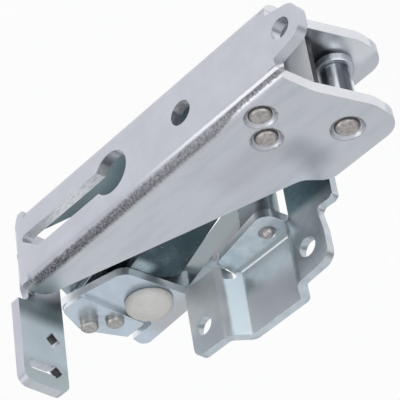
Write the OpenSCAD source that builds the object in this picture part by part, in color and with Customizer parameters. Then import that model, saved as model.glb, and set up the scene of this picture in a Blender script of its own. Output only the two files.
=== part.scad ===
// Multi-link hinge for an integrated fridge door.
// A folded steel channel carries two long arms, a lever pack, a hat-shaped bracket and a short link.
// Origin: centre of the channel's round hole on its outer face. X runs along the channel
// towards the ears, Y points out of the channel's back, Z runs along the hinge pins.

/* [Channel] */
// Channel width over the two flanges, mm
channel_w = 20; // [18:0.5:24]
// Thickness of the channel sheet, mm
channel_t = 2.5; // [2:0.1:3]
// Outer radius of the channel's long folds, mm
fold_r = 3.2; // [2.8:0.1:4]
// Distance from the round hole to the channel's end plate face, mm
end_reach = 56.5; // [52:0.5:64]
// Outer radius of the fold from the web to the end plate, mm
end_r = 5; // [4:0.1:5.6]
// Distance from the round hole to the end of the ears, mm
ear_reach = 30.9; // [29:0.5:36]
// Depth of the flanges at the ears, mm
ear_depth = 31; // [29:0.5:36]
// Depth of the flanges at the end plate, mm
toe_depth = 6; // [5:0.2:8]
// Length of the nose beyond the round hole, mm
nose_reach = 34; // [33:0.5:38]
// Half width of the nose at its tip, mm
nose_half = 3.9; // [3:0.1:5]

/* [Channel holes] */
// Radius of the round hole, mm
hole_r = 2.8; // [2:0.1:4]
// Radius of the nose hole, mm
nose_hole_r = 2.4; // [1.5:0.1:3]
// Distance from the round hole to the nose hole, mm
nose_hole_x = 29.1; // [28:0.1:30]
// Radius of the keyhole's round end, mm
key_r = 5; // [4:0.1:6]
// Distance from the round hole to the keyhole's round end, mm
key_x = 22; // [18:0.5:26]
// Width of the keyhole's slot, mm
key_slot_w = 5.6; // [4:0.1:6.5]
// Radius of the small relief holes at the end fold, mm
relief_r = 0.95; // [0.6:0.05:1.2]

/* [End plate] */
// Depth of the end plate, mm
tab_depth = 11.8; // [10:0.2:14]
// Reach of the end plate beyond the middle of the channel, mm
tab_reach = 32.2; // [28:0.2:38]
// Side of the square hole in the end plate, mm
tab_square = 2.8; // [2:0.1:3.2]
// Length of the slot in the end plate, mm
tab_slot_l = 8.4; // [6:0.1:9]
// Width of the slot in the end plate, mm
tab_slot_w = 2.5; // [1.5:0.1:3]

/* [Pivots] */
// Upper arm pivot distance from the round hole, mm
upper_x = 15.5; // [15:0.1:17]
// Upper arm pivot depth, mm
upper_y = 5.7; // [5.7:0.1:6]
// Lower arm pivot distance from the round hole, mm
lower_x = 11.3; // [10.5:0.1:12]
// Lower arm pivot depth, mm
lower_y = 11.3; // [11:0.1:12]
// Ear pivot distance from the round hole, mm
ear_pin_x = 22.8; // [22:0.1:23.6]
// Ear pivot depth, mm
ear_pin_y = 22.6; // [22:0.1:23.4]
// Radius of the two arm rivets, mm
arm_pin_r = 2.2; // [1.8:0.05:2.3]
// Radius of the ear rivet, mm
ear_pin_r = 2.4; // [2:0.05:2.5]
// Width of the dished ring round each rivet end, mm
dish_w = 1.2; // [0.8:0.05:1.25]
// Depth of the dished ring, mm
dish_d = 0.6; // [0.3:0.05:1]

/* [Arms] */
// Length of the upper arm between its pivots, mm
upper_l = 75.1; // [74:0.1:76]
// Slope of the upper arm at rest, degrees
upper_slope = 13.1; // [12.8:0.1:13.6]
// Length of the lower arm between its pivots, mm
lower_l = 68.2; // [67.2:0.1:69]
// Slope of the lower arm at rest, degrees
lower_slope = 14.1; // [13.8:0.1:14.6]
// Half width of the arms, mm
arm_half = 3.1; // [2.6:0.1:3.1]
// Sheet thickness of the arms, mm
arm_t = 1.9; // [1.6:0.1:1.9]

/* [Lever] */
// Sheet thickness of the lever plates, mm
lever_t = 2; // [1.7:0.1:2]
// Distance from the lower arm's lever pin to the bracket stud, mm
lever_l = 42.9; // [42:0.1:44]
// Slope of the line from that pin to the stud at rest, degrees
lever_slope = 8.6; // [8:0.1:9.4]
// Radius of the two lever pins, mm
lever_pin_r = 2; // [1.7:0.05:2]
// Radius of the plastic glide cap, mm
cap_r = 5.4; // [4.5:0.1:5.6]
// Height of the plastic glide cap, mm
cap_h = 2.9; // [2:0.1:3.6]
// Thickness of the strap over the lever pins, mm
strap_t = 1; // [0.8:0.1:1.3]

/* [Bracket] */
// Sheet thickness of the bracket, mm
bracket_t = 2; // [1.7:0.1:2]
// Distance between the two screw holes, mm
screw_pitch = 32; // [30:0.5:33]
// Radius of the screw holes, mm
screw_hole_r = 2.3; // [1.8:0.1:2.6]
// Depth of the bracket's ears below the channel's back, mm
bracket_y = 34.6; // [34.2:0.1:36]
// Depth of the bracket's hollow, mm
hat_depth = 4.4; // [3.8:0.1:5]
// Reach of the bracket beyond the middle of the channel, mm
bracket_reach = 24; // [23:0.2:28]
// Height of the screw holes above the middle of the channel, mm
screw_z = 17.4; // [16.6:0.1:18]
// Offset of the ear link's pin from the bracket stud, mm
link_pin_x = 10.4; // [10:0.1:10.8]
// Rise of the ear link's pin above the bracket stud, mm
link_pin_y = 5.2; // [4.8:0.1:5.6]

/* [Fits] */
// Radial clearance of the moving pivots, mm
run_gap = 0.05; // [0.03:0.01:0.1]
// Side clearance between stacked plates, mm
side_gap = 0.1; // [0.06:0.01:0.13]
// Radial clearance of the two slotted pivot eyes, mm
slot_gap = 0.3; // [0.25:0.01:0.35]
// Roundness of curved faces, segments
facets = 64; // [32:8:96]

/* [Hidden] */
$fn = facets;
eps = 0.01;
past = 1;
arc_steps = 8;

steel = [0.76, 0.78, 0.82];
steel_shade = [0.66, 0.70, 0.73];
rivet_steel = [0.70, 0.68, 0.66];
cream = [0.82, 0.81, 0.78];

channel_h = channel_w / 2;
inner_h = channel_h - channel_t;
fold_inner_r = fold_r - channel_t;

// Pivots in the XY plane
upper_pivot = [upper_x, -upper_y];
lower_pivot = [lower_x, -lower_y];
ear_pivot = [ear_pin_x, -ear_pin_y];
upper_end = upper_pivot - upper_l * [cos(upper_slope), sin(upper_slope)];
lower_end = lower_pivot - lower_l * [cos(lower_slope), sin(lower_slope)];
stud = lower_end + lever_l * [cos(lever_slope), -sin(lever_slope)];
link_end = stud + [link_pin_x, link_pin_y];

// Layers along the pins, measured from the middle of the channel
lug_out = inner_h - side_gap;
lug_in = lug_out - bracket_t;
top_out = lug_in - side_gap;
top_in = top_out - lever_t;
lower_out = top_in - side_gap;
lower_in = lower_out - arm_t;
upper_out = lower_in - side_gap;
upper_in = upper_out - arm_t;
base_out = upper_in - side_gap;
base_in = base_out - lever_t;
low_lug_out = base_in - side_gap;
low_lug_in = low_lug_out - bracket_t;
link_out = low_lug_in - side_gap;
link_in = link_out - bracket_t + side_gap;
strap_out = top_out + strap_t;

// Outline helpers

function dir(v) = v / norm(v);
function turn(v) = [-v[1], v[0]];

// Samples of one rounded corner: position and left-hand normal
function corner(a, b, c, r) =
    let (u = dir([b[0] - a[0], b[1] - a[1]]), w = dir([c[0] - b[0], c[1] - b[1]]),
         bend = atan2(u[0] * w[1] - u[1] * w[0], u * w), side = sign(bend),
         cut = r * tan(abs(bend) / 2), start = [b[0], b[1]] - cut * u,
         mid = start + side * r * turn(u))
    r == 0 || bend == 0 ? [[[b[0], b[1]], dir(turn(u) + turn(w)) / cos(bend / 2)]] :
    [for (i = [0:arc_steps]) let (t = bend * i / arc_steps, n = cos(t) * turn(u) - sin(t) * u)
        [mid - side * r * n, n]];

// Corner of a round end: where a line from a, tangent to the circle on its left (1) or
// right (-1) side, meets the line across the end, which faces along e
function end_corner(a, mid, r, side, e) =
    let (d = mid - a, k = atan2(d[1], d[0]) + side * asin(r / norm(d)), u = [cos(k), sin(k)],
         p = a + u * (r + d * e) / (u * e))
    [p[0], p[1], r];

// Closed outline through corners given as [x, y, radius]
function rounded(p) = let (n = len(p))
    [for (i = [0:n - 1]) for (s = corner(p[(i + n - 1) % n], p[i], p[(i + 1) % n], p[i][2])) s[0]];

// Closed outline of a bent sheet that follows a path of [x, y, radius]
function sheet(p, t) =
    let (n = len(p), u = dir([p[1][0] - p[0][0], p[1][1] - p[0][1]]),
         w = dir([p[n - 1][0] - p[n - 2][0], p[n - 1][1] - p[n - 2][1]]),
         s = [[[p[0][0], p[0][1]], turn(u)],
              for (i = [1:n - 2]) for (k = corner(p[i - 1], p[i], p[i + 1], p[i][2])) k,
              [[p[n - 1][0], p[n - 1][1]], turn(w)]],
         m = len(s))
    concat([for (k = s) k[0] + k[1] * t / 2], [for (i = [m - 1:-1:0]) s[i][0] - s[i][1] * t / 2]);

module layer(z0, z1) {
    translate([0, 0, z0])
        linear_extrude(z1 - z0)
            children();
}

module at(p) {
    translate([p[0], p[1], 0])
        children();
}

// Straight strip from one pivot to another
module strip(a, b, r) {
    d = b - a;
    at(a)
        rotate(atan2(d[1], d[0]))
            translate([0, -r])
                square([norm(d), 2 * r]);
}

// Strip with a round end on each pivot
module bar(a, b, r) {
    at(a)
        circle(r);
    at(b)
        circle(r);
    strip(a, b, r);
}

// Slot with round ends about a point, turned by an angle
module slot(p, angle, half, r) {
    at(p)
        rotate(angle) {
            translate([-half, -r])
                square([2 * half, 2 * r]);
            for (s = [-1, 1])
                translate([s * half, 0])
                    circle(r);
        }
}

module shaft(p, r, z0, z1) {
    at(p)
        translate([0, 0, z0])
            cylinder(r = r, h = z1 - z0);
}

// Tube on a pivot
module tube(p, r_out, r_in, z0, z1) {
    difference() {
        shaft(p, r_out, z0, z1);
        shaft(p, r_in, z0 - past, z1 + past);
    }
}

// Rivet with a small bevel on both ends
rivet_bevel = 0.35;
module rivet(p, r, z0, z1) {
    at(p)
        rotate_extrude()
            polygon([[0, z0], [r - rivet_bevel, z0], [r, z0 + rivet_bevel],
                     [r, z1 - rivet_bevel], [r - rivet_bevel, z1], [0, z1]]);
}

// Channel

ear_step_x = 8;
ear_step_rise = 5;
flange_start = end_reach - channel_t - 1.4;
web_end = ear_reach - 6.9;
nose_root = 6;
end_inner_r = end_r - channel_t;
fold_half = channel_h - 0.6;

// Outline of both flanges, seen along the pins
flange_outline = [
    [-flange_start, past, 0],
    [web_end + 2, past, 0],
    [ear_reach - 4, -ear_depth * 0.3, 9],
    [ear_reach, -ear_depth * 0.72, 8],
    [ear_reach - 0.4, -ear_depth, 5],
    [ear_step_x + 1.6, -ear_depth, 4],
    [ear_step_x - 1.8, -ear_depth + ear_step_rise, 4],
    [-flange_start + 0.2, -toe_depth, 3]
];

// Outline of the web with its nose, seen from outside
web_outline = [
    [-end_reach - past, -channel_h - past, 0],
    [web_end, -channel_h - past, 0],
    [web_end, -nose_root - 1.4, 0],
    [web_end + 0.8, -nose_root, 1.2],
    [nose_reach, -nose_half, nose_half - 0.4],
    [nose_reach, nose_half, nose_half - 0.4],
    [web_end + 0.8, nose_root, 1.2],
    [web_end, nose_root + 1.4, 0],
    [web_end, channel_h + past, 0],
    [-end_reach - past, channel_h + past, 0]
];

module channel_section() {
    difference() {
        translate([-ear_depth - past, -channel_h])
            square([ear_depth + past, channel_w]);
        translate([-ear_depth - 2 * past, -inner_h])
            square([ear_depth + 2 * past - channel_t, 2 * inner_h]);
        for (s = [-1, 1])
            translate([-fold_r, s * (channel_h - fold_r)])
                difference() {
                    translate([0, s < 0 ? -fold_r - past : 0])
                        square([fold_r + past, fold_r + past]);
                    circle(fold_r);
                }
    }
}

slot_far_x = -end_reach + 3.6;
slot_near_x = -end_reach + 10.2;

// Slot of the keyhole with its slanted end, cut along Y
module web_slot() {
    rotate([90, 0, 0])
        translate([0, 0, -past])
            linear_extrude(channel_t + 2 * past)
                polygon(rounded([[-key_x, -key_slot_w / 2, 0], [-key_x, key_slot_w / 2, 0],
                    [slot_near_x, key_slot_w / 2, 0.8], [slot_far_x, -key_slot_w / 2, 1]]));
}

module web_hole(x, z, r) {
    translate([x, past, z])
        rotate([90, 0, 0])
            cylinder(r = r, h = channel_t + 2 * past);
}

tab_corner = 2.4;
tab_square_y = 8.4;
tab_square_z = tab_reach - 12.6;
tab_slot_y = 5.6;
tab_slot_z = tab_reach - 4.6;
slot_square = 2.4;
tab_gap_r = 1.6;
tab_gap_y = 1.2;

// Square hole through the end plate, standing on its corner
module tab_hole(y, z, side) {
    translate([-end_reach - past, y, z])
        rotate([45, 0, 0])
            translate([0, -side / 2, -side / 2])
                cube([channel_t + 2 * past, side, side]);
}

// Plate folded down from the web's end, with its long tab
module end_plate() {
    difference() {
        translate([-end_reach, 0, 0])
            rotate([90, 0, 90])
                linear_extrude(channel_t)
                    polygon(rounded([[-end_r, -fold_half, 0], [0, -fold_half, 0.5],
                        [0, tab_reach, tab_corner], [-tab_depth, tab_reach, tab_corner],
                        [-tab_depth, -fold_half, tab_corner]]));
        tab_hole(-tab_square_y, tab_square_z, tab_square);
        tab_hole(-tab_slot_y - (tab_slot_l - tab_slot_w) / 2, tab_slot_z, slot_square);
        translate([-end_reach - past, 0, tab_slot_z])
            rotate([0, 90, 0])
                linear_extrude(channel_t + 2 * past)
                    slot([0, -tab_slot_y], 90, (tab_slot_l - tab_slot_w) / 2, tab_slot_w / 2);
    }
}

// Rounded sheet between the web and the end plate
module end_fold() {
    difference() {
        translate([-end_reach, -end_r, -fold_half])
            cube([end_r + 1, end_r, 2 * fold_half]);
        translate([-end_reach + end_r, -end_r, -channel_h - past]) {
            cylinder(r = end_inner_r, h = channel_w + 2 * past);
            translate([0, -past, 0])
                cube([2 + past, past + end_inner_r, channel_w + 2 * past]);
        }
    }
}

// Stock outside the fold towards the end plate
module fold_stock() {
    translate([-end_reach + end_r, -end_r, -channel_h - past])
        difference() {
            translate([-end_r - past, 0, 0])
                cube([end_r + past, end_r + past, channel_w + past]);
            cylinder(r = end_r, h = channel_w + 2 * past);
        }
}

// Gap between the fold and the tab's top edge
module tab_gap() {
    translate([-end_reach - past, -tab_gap_y, channel_h])
        rotate([0, 90, 0])
            linear_extrude(channel_t + 2 * past) {
                circle(tab_gap_r);
                translate([-tab_gap_r, 0])
                    square([2 * tab_gap_r, tab_gap_y + past]);
            }
}

far_cut_x = 5.1;
far_cut_z = 4.4;

// Stock outside the channel's slanted far corner
module far_corner() {
    rotate([90, 0, 0])
        translate([0, 0, -past])
            linear_extrude(tab_depth + 2 * past)
                translate([-end_reach, -channel_h])
                    polygon([[-past, -past], [far_cut_x + past * far_cut_x / far_cut_z, -past],
                        [-past, far_cut_z + past * far_cut_z / far_cut_x]]);
}

dish_floor = 0.35;

// Hole for a rivet with a dished ring on each face of the channel
module rivet_hole(p, r) {
    shaft(p, r, -channel_h - past, channel_h + past);
    for (s = [0, 1])
        at(p)
            mirror([0, 0, s])
                translate([0, 0, channel_h])
                    rotate_extrude()
                        polygon([[0, -dish_d], [r + dish_w * dish_floor, -dish_d], [r + dish_w, 0],
                                 [r + dish_w, past], [0, past]]);
}

module channel() {
    color(steel)
        difference() {
            union() {
                intersection() {
                    translate([-end_reach + fold_r, 0, 0])
                        rotate([90, 0, 90])
                            linear_extrude(end_reach + nose_reach)
                                channel_section();
                    union() {
                        layer(-channel_h - past, channel_h + past)
                            polygon(rounded(flange_outline));
                        rotate([90, 0, 0])
                            translate([0, 0, -past])
                                linear_extrude(past + channel_t)
                                    polygon(rounded(web_outline));
                    }
                    // flanges stop at the web's end, and only the nose goes on
                    union() {
                        translate([-end_reach - past, -ear_depth - 2 * past, -channel_h - past])
                            cube([end_reach + web_end + past, ear_depth + 3 * past, channel_w + 2 * past]);
                        for (s = [-1, 1])
                            translate([web_end - eps, -ear_depth - 2 * past, s > 0 ? inner_h : -channel_h - past])
                                cube([ear_reach, ear_depth + 3 * past, channel_t + past]);
                        translate([web_end - eps, -channel_t, -nose_root - 1.4])
                            cube([ear_reach, channel_t + past, 2 * nose_root + 2.8]);
                    }
                }
                end_fold();
                end_plate();
            }
            web_hole(0, 0, hole_r);
            web_hole(nose_hole_x, 0, nose_hole_r);
            web_hole(-key_x, 0, key_r);
            web_slot();
            web_hole(-end_reach + 1.9, 0.6, relief_r);
            fold_stock();
            tab_gap();
            far_corner();
            for (p = [upper_pivot, lower_pivot])
                rivet_hole(p, arm_pin_r);
            rivet_hole(ear_pivot, ear_pin_r);
        }
}

// Pins, bushes and guard held by the channel
rivet_proud = 0.15;
bush_wall = 0.8;
stub_end = lower_in;

module upper_pin() {
    color(rivet_steel)
        rivet(upper_pivot, arm_pin_r, -channel_h - rivet_proud, channel_h + rivet_proud);
}

// Stub rivet: the upper arm sweeps past below its end
module lower_stub() {
    color(rivet_steel)
        rivet(lower_pivot, arm_pin_r, stub_end, channel_h + rivet_proud);
}

module lower_plug() {
    color(rivet_steel)
        rivet(lower_pivot, arm_pin_r, -channel_h - rivet_proud, -inner_h);
}

module ear_pin() {
    color(rivet_steel)
        rivet(ear_pivot, ear_pin_r, -channel_h - rivet_proud, channel_h + rivet_proud);
}

module upper_bush_near() {
    color(steel_shade)
        tube(upper_pivot, arm_pin_r + bush_wall, arm_pin_r, upper_out + side_gap, inner_h);
}

module upper_bush_far() {
    color(steel_shade)
        tube(upper_pivot, arm_pin_r + bush_wall, arm_pin_r, -inner_h, upper_in - side_gap);
}

module lower_bush() {
    color(steel_shade)
        tube(lower_pivot, arm_pin_r + bush_wall, arm_pin_r, lower_out + side_gap, inner_h);
}

module ear_sleeve() {
    color(steel_shade)
        tube(ear_pivot, ear_pin_r + bush_wall, ear_pin_r, link_out + side_gap, inner_h);
}

guard_t = 1.4;
guard_bend = 4;
guard_top = ear_pin_y - 10.3;
guard_wall = ear_pin_x - 6.1;

// Bent sheet between the ears: flat below the web's end, then down behind the ear pin
guard_path = [
    [ear_pin_x + 2.8, -guard_top, 0],
    [guard_wall, -guard_top - 0.2, guard_bend],
    [guard_wall + 0.2, -ear_pin_y + 2.8, 0]
];

module ear_guard() {
    color(steel_shade)
        layer(-inner_h, inner_h)
            polygon(sheet(guard_path, guard_t));
}

// Arms
pivot_eye_r = arm_pin_r + run_gap;
lever_eye_r = lever_pin_r + run_gap;
arm_end_r = arm_half + 0.4;

module upper_arm() {
    color(steel_shade)
        difference() {
            layer(upper_in, upper_out) {
                bar(upper_pivot, upper_end, arm_half);
                at(upper_end)
                    circle(arm_end_r);
            }
            shaft(upper_pivot, pivot_eye_r, -channel_h, channel_h);
            shaft(upper_end, lever_eye_r, -channel_h, channel_h);
        }
}

// Path of the lever's pin inside the lower arm's slotted eye
lower_slot_angle = 23;
lower_slot_half = 0.4;

// Belly under the lower arm, as [distance from its pivot, depth, radius]
lower_belly = [
    [lower_l - 46.2, 0, 0],
    [lower_l - 12.2, 0, 0],
    [lower_l - 15.2, arm_half + 5.5, 2],
    [lower_l - 36.7, arm_half + 4.1, 3]
];

module lower_arm() {
    color(steel_shade)
        difference() {
            layer(lower_in, lower_out) {
                bar(lower_pivot, lower_end, arm_half);
                at(lower_pivot)
                    rotate(180 + lower_slope)
                        polygon(rounded(lower_belly));
                at(lower_end)
                    circle(arm_end_r + 0.1);
            }
            shaft(lower_pivot, pivot_eye_r, -channel_h, channel_h);
            layer(-channel_h, channel_h)
                slot(lower_end, lower_slot_angle, lower_slot_half, lever_pin_r + slot_gap);
        }
}

// Lever pack: two outer plates, two core plates and a doubler near the stud
lever_far_x = upper_end[0] - 4.2;
lever_near_x = lower_end[0] + 15;
lever_top_y = lower_end[1] + 12.9;
lever_low_y = lower_end[1] - 13.2;
notch_y = lower_end[1] - 7.9;
notch_w = 2;
notch_x = lower_end[0] + 1.8;
strap_x = lower_end[0] + 2.6;
stud_eye_r = 3.4;
arm_low_y = stud[1] - 4.9;

// Outline of the wide end of the lever, as [x, y, radius]
lever_head = [
    [lever_far_x + 3.4, lever_top_y, 2.6],
    [lever_near_x - 1.6, lever_top_y - 4.4, 3.2],
    [lever_near_x + 0.2, lever_low_y + 1.2, 1.2],
    [lever_far_x + 1.8, lever_low_y, 1.9],
    [lever_far_x + 3.2, notch_y + 1, 2],
    [lever_far_x - 0.2, upper_end[1] - 1, 4.2]
];

// Outline of the lever's arm, from the wide end to the stud
arm_start = [lever_near_x - 1, lower_end[1] - 9];
arm_foot = [arm_start[0], arm_low_y - 1.2];
shoulder = stud + [-3.6, 4.1];
arm_facing = dir(stud - (arm_start + arm_foot) / 2);
lever_arm = [
    [arm_start[0], arm_start[1], 0],
    [shoulder[0], shoulder[1], 1],
    end_corner(shoulder, stud, stud_eye_r, 1, arm_facing),
    end_corner(arm_foot, stud, stud_eye_r, -1, arm_facing),
    [arm_foot[0], arm_foot[1], 0]
];

// Outline of the core plates: the toe, clear of the arms' eyes
lever_core = [
    [lever_far_x + 4.2, notch_y + 1.9, 1],
    [lever_near_x - 4, notch_y + 1.9, 1.2],
    [arm_start[0] + 2.4, arm_start[1] + 0.55, 3],
    [arm_start[0] + 2.4, arm_low_y - 1.1, 0],
    [lever_far_x + 3, lever_low_y + 0.6, 1.4]
];

doubler_x = stud[0] - 15.8;
glide = lower_end + [8.4, -2.8];
glide_stem_r = 1.6;
toe_rivet_r = 1.3;
toe_point = lower_end + [10.4, -10.4];

module arm_outline() {
    polygon(rounded(lever_arm));
}

module toe_notch() {
    translate([lever_far_x - past, notch_y - notch_w / 2])
        square([notch_x - lever_far_x + past, notch_w]);
    translate([notch_x, notch_y])
        circle(notch_w / 2);
}

module lever_top() {
    color(steel)
        difference() {
            layer(top_in, top_out)
                difference() {
                    polygon(rounded(lever_head));
                    toe_notch();
                }
            for (p = [upper_end, lower_end])
                shaft(p, lever_pin_r, 0, channel_h);
            shaft(glide, glide_stem_r, 0, channel_h);
        }
}

module lever_base() {
    color(steel)
        difference() {
            layer(base_in, base_out) {
                polygon(rounded(lever_head));
                arm_outline();
            }
            for (p = [upper_end, lower_end])
                shaft(p, lever_pin_r, -channel_h, channel_h);
            shaft(toe_point, toe_rivet_r, -channel_h, channel_h);
            shaft(stud, stud_r + run_gap, -channel_h, channel_h);
        }
}

module core_plate(z0, z1) {
    difference() {
        layer(z0, z1) {
            polygon(rounded(lever_core));
            arm_outline();
        }
        shaft(toe_point, toe_rivet_r, -channel_h, channel_h);
        shaft(stud, stud_r + run_gap, -channel_h, channel_h);
    }
}

core_mid = (upper_out + lower_in) / 2;

module lever_core_far() {
    color(steel_shade)
        core_plate(base_out, core_mid);
}

module lever_core_near() {
    color(steel_shade)
        core_plate(core_mid, top_in);
}

module lever_doubler() {
    color(steel)
        difference() {
            layer(top_in, top_out)
                intersection() {
                    arm_outline();
                    translate([doubler_x, 2 * stud[1]])
                        square([-doubler_x, -2 * stud[1]]);
                }
            shaft(stud, stud_r + run_gap, 0, channel_h);
        }
}

strap_lip = 0.5;

strap_outline = [
    [lever_far_x + 3.6, lever_top_y - 0.4, 2.4],
    [strap_x, lever_top_y - 1.4, 1.2],
    [strap_x, notch_y + notch_w / 2 + strap_lip, 0.6],
    [lever_far_x + 3.6, notch_y + notch_w / 2 + strap_lip, 0.8],
    [lever_far_x + 3.4, notch_y + notch_w / 2 + strap_lip + 0.75, 2],
    [lever_far_x + 0.1, upper_end[1] - 1, 4]
];

module pin_strap() {
    color(steel)
        difference() {
            layer(top_out, strap_out)
                polygon(rounded(strap_outline));
            for (p = [upper_end, lower_end])
                shaft(p, lever_pin_r, 0, channel_h);
        }
}

upper_pin_proud = 3.6;
lower_pin_proud = 2.1;

module lever_pin_upper() {
    color(rivet_steel)
        rivet(upper_end, lever_pin_r, base_in, top_out + upper_pin_proud);
}

module lever_pin_lower() {
    color(rivet_steel)
        rivet(lower_end, lever_pin_r, base_in, top_out + lower_pin_proud);
}

module toe_rivet() {
    color(rivet_steel)
        shaft(toe_point, toe_rivet_r, base_in, top_in);
}

cap_dome = 1.9;

module glide_cap() {
    color(cream)
        at(glide)
            translate([0, 0, top_out])
                rotate_extrude()
                    polygon([[0, top_in - top_out], [glide_stem_r, top_in - top_out],
                             [glide_stem_r, 0], [cap_r, 0], [cap_r, cap_h - cap_dome],
                             for (i = [1:arc_steps]) let (t = 90 * i / arc_steps)
                                [cap_r - cap_dome + cap_dome * cos(t),
                                 cap_h - cap_dome + cap_dome * sin(t)],
                             [0, cap_h]]);
}

// Bracket
hat_left = stud[0] - 13.4;
hat_right = stud[0] + 2.2;
wall_run = 3.2;
screw_mid = (hat_left + hat_right) / 2 - 0.8;
ear_out_l = screw_mid - screw_pitch / 2 - 4.3;
ear_out_r = screw_mid + screw_pitch / 2 + 5.1;
arm_in = hat_right + wall_run + 0.8;
arm_out = ear_out_r + 4.1;
ear_top = 10.4;
ear_y = -bracket_y - bracket_t / 2;
hat_y = ear_y - hat_depth;
sheet_r = 1.8;

hat_path = [
    [ear_out_l - past, ear_y, 0],
    [hat_left - wall_run, ear_y, sheet_r],
    [hat_left, hat_y, sheet_r],
    [hat_right, hat_y, sheet_r],
    [hat_right + wall_run, ear_y, sheet_r],
    [arm_out + past, ear_y, 0]
];

flap_top = lug_in + 0.2;
flap_x = hat_left - 2.2;
flap_root = ear_top - 1.2;

// Bracket outline seen from the channel, as [x, z, radius]
bracket_front = [
    [ear_out_l, flap_top, 2],
    [flap_x, flap_top, 0.8],
    [flap_x, flap_root, 0.5],
    [hat_left - 0.4, flap_root, 0.5],
    [hat_left - 0.4, lug_in, 0],
    [hat_right + 0.8, lug_in, 0],
    [hat_right + 1.6, lug_out + 1.4, 0.8],
    [arm_in, lug_out, 1],
    [arm_in, low_lug_in, 0],
    [arm_out, low_lug_in, 0],
    [arm_out, ear_top - 0.2, 1.4],
    [ear_out_r - 0.9, ear_top - 0.6, 1.4],
    [ear_out_r, ear_top + 5.6, 3],
    [ear_out_r, bracket_reach - 0.8, 3],
    [hat_right + wall_run, bracket_reach, 3],
    [ear_out_l + 0.4, bracket_reach, 2.6]
];

lug_tip_y = bracket_y - 5.8;

upper_lug_outline = [
    [hat_left - 0.4, hat_y - bracket_t / 2, 0],
    [hat_right + 0.8, hat_y - bracket_t / 2, 0],
    [hat_right + 2.9, -bracket_y - 1.4, 1.2],
    [hat_right + 2, -lug_tip_y, 3],
    [hat_left - 0.2, -lug_tip_y - 3.4, 1.4],
    [hat_left - 1.1, hat_y + 1.6, 0.5]
];

lower_lug_outline = [
    [arm_in, ear_y - bracket_t / 2, 0],
    [arm_out, ear_y - bracket_t / 2, 0],
    [arm_out, ear_y + 3.4, 2],
    [link_end[0] + 3.2, link_end[1] + 3, 3],
    [link_end[0] - 3.4, link_end[1] + 3.6, 3],
    [stud[0] - 3.4, stud[1] + 3.6, 3],
    [stud[0] - 3.4, stud[1] - 3.6, 3],
    [arm_in - 1, ear_y - bracket_t / 2, 2]
];

// Upright plate folded into a lug that faces the channel
module folded_lug(x0, x1, y, z_far, z_lug) {
    translate([x0, 0, 0])
        rotate([90, 0, 90])
            linear_extrude(x1 - x0)
                polygon(sheet([[y, z_far, 0], [y, z_lug, sheet_r], [0, z_lug, 0]], bracket_t));
}

module bracket() {
    color(steel_shade)
        difference() {
            union() {
                // hat with its two ears and the arm, above the folds
                intersection() {
                    layer(lug_in, bracket_reach)
                        polygon(sheet(hat_path, bracket_t));
                    rotate([90, 0, 0])
                        linear_extrude(-2 * hat_y)
                            polygon(rounded(bracket_front));
                    translate([ear_out_l, 2 * hat_y, lug_in])
                        cube([arm_out - ear_out_l, -2 * hat_y, bracket_reach]);
                }
                intersection() {
                    folded_lug(hat_left - 4, hat_right + 4, hat_y, lug_out + 3, (lug_in + lug_out) / 2);
                    layer(lug_in, lug_out + 3)
                        polygon(rounded(upper_lug_outline));
                }
                intersection() {
                    folded_lug(stud[0] - 8, arm_out, ear_y, lug_out + 3, (low_lug_in + low_lug_out) / 2);
                    union() {
                        layer(low_lug_in, low_lug_out)
                            polygon(rounded(lower_lug_outline));
                        translate([arm_in, 2 * hat_y, low_lug_in])
                            cube([arm_out - arm_in, ear_y + sheet_r + bracket_t / 2 - 2 * hat_y,
                                lug_out + 2 - low_lug_in]);
                    }
                }
            }
            for (s = [-1, 1])
                translate([screw_mid + s * screw_pitch / 2, 0, screw_z])
                    rotate([90, 0, 0])
                        cylinder(r = screw_hole_r, h = -2 * hat_y);
            shaft(stud, neck_r, core_mid, channel_h);
            shaft(stud, stud_r, -channel_h, core_mid);
            shaft(link_end, link_pin_r, -channel_h, core_mid);
            // dished ring round the stud's head
            at(stud)
                rotate_extrude()
                    polygon([[0, lug_out - ring_d], [neck_r + 0.15, lug_out - ring_d], [ring_r, lug_out],
                             [ring_r, lug_out + past], [0, lug_out + past]]);
        }
}

stud_r = 1.9;
neck_r = 1.4;
head_rise = 1.3;
ring_r = 2.1;
ring_d = 0.5;

// Pivot stud with a thin domed end above the upper lug
module bracket_stud() {
    color(rivet_steel)
        at(stud)
            rotate_extrude()
                polygon([[0, low_lug_in], [stud_r, low_lug_in], [stud_r, lug_in],
                         [neck_r, lug_in], [neck_r, lug_out],
                         for (i = [1:arc_steps]) let (t = 90 * i / arc_steps)
                            [neck_r * cos(t), lug_out + head_rise * sin(t)]]);
}

link_pin_r = 1.6;

module link_pin() {
    color(rivet_steel)
        rivet(link_end, link_pin_r, link_in, low_lug_out);
}

// Path of the link pin inside the ear link's slotted eye
link_slot_mid = link_end + [0.09, -0.07];
link_slot_angle = 54.5;
link_slot_half = 1.68;
link_half = 3.2;
link_eye_r = ear_pin_r + run_gap;

module ear_link() {
    color(steel)
        difference() {
            layer(link_in, link_out) {
                strip(ear_pivot, link_end, link_half);
                slot(link_slot_mid, link_slot_angle, link_slot_half, link_half + 0.25);
                at(ear_pivot)
                    circle(link_eye_r + 1.6);
            }
            shaft(ear_pivot, link_eye_r, -channel_h, channel_h);
            layer(-channel_h, channel_h)
                slot(link_slot_mid, link_slot_angle, link_slot_half, link_pin_r + slot_gap);
        }
}

channel();
upper_pin();
lower_stub();
lower_plug();
ear_pin();
upper_bush_near();
upper_bush_far();
lower_bush();
ear_sleeve();
ear_guard();
upper_arm();
lower_arm();
lever_top();
lever_base();
lever_core_far();
lever_core_near();
lever_doubler();
pin_strap();
lever_pin_upper();
lever_pin_lower();
toe_rivet();
glide_cap();
bracket();
bracket_stud();
link_pin();
ear_link();
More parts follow.
